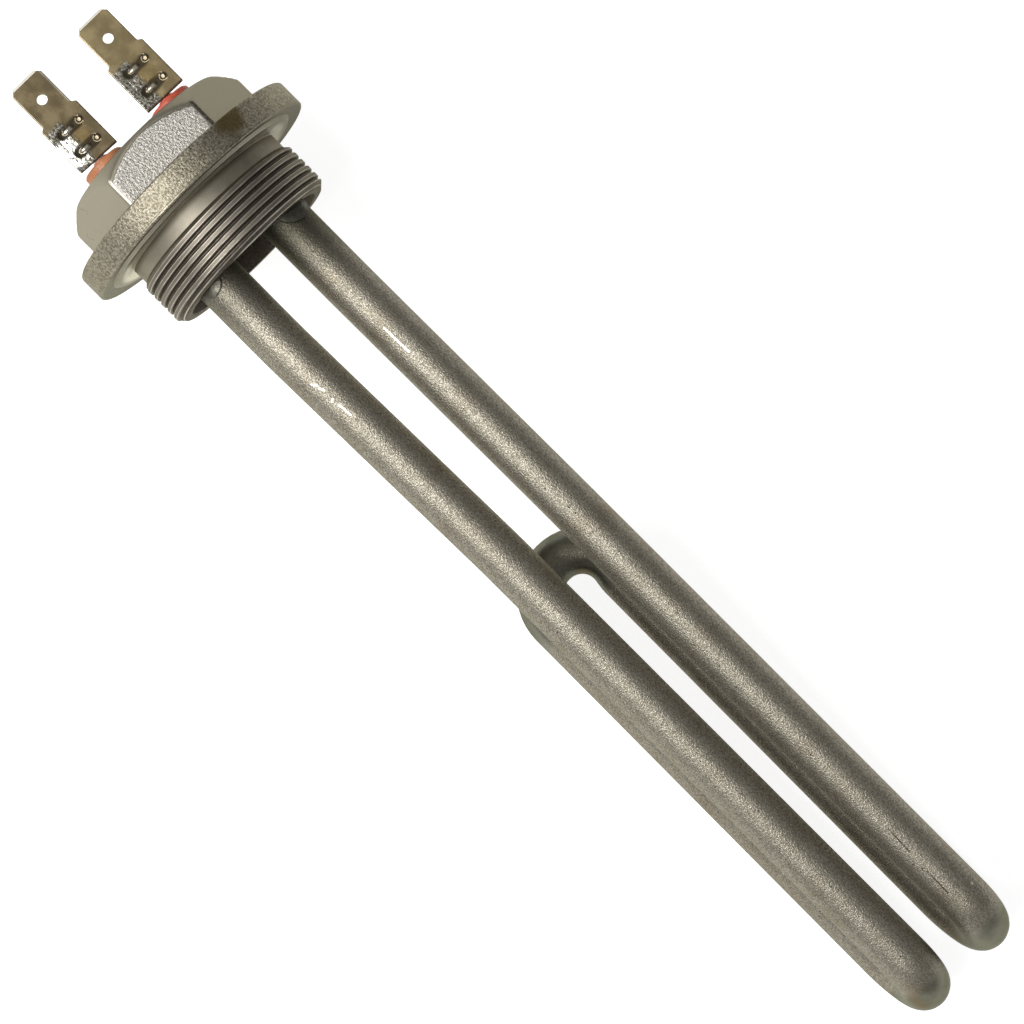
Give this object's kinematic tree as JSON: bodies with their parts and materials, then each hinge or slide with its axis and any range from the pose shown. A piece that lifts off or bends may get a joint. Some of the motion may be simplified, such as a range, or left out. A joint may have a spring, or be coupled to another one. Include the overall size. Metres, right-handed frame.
{
  "type": "screw plug immersion heater",
  "caption": "Threaded hexagon plug with a round flange, with a folded heating tube on its wet side and blade terminals on its dry side.",
  "frame": {"origin": "on the thread's axis, 0.65 mm behind the plane of the gasket seat", "axes": "+X along the thread's axis from the terminals to the tips of the heating tube, +Z towards the side of the two front legs, +Y to the right terminal"},
  "size_m": [0.2116, 0.0456, 0.0456],
  "materials": {
    "plug_steel": "satin",
    "sheath_steel": "fine blasted satin",
    "mineral_powder": "matt packed powder",
    "resistance_wire": "dull drawn wire",
    "pin_steel": "satin",
    "seal_orange": "soft satin",
    "seal_red": "soft satin",
    "tab_nickel": "satin nickel with heat tint",
    "braze_alloy": "dull"
  },
  "bodies": {
    "root": {"plug_body": "plug_steel", "heater_sheath": "sheath_steel", "insulation_fill": "mineral_powder", "resistance_coil": "resistance_wire", "cold_pin_left": "pin_steel", "cold_pin_right": "pin_steel", "end_seal_left": "seal_orange", "end_seal_right": "seal_red", "terminal_tab_left": "tab_nickel", "terminal_tab_right": "tab_nickel", "braze_fillet_left": "braze_alloy", "braze_fillet_right": "braze_alloy"}
  },
  "joints": []
}
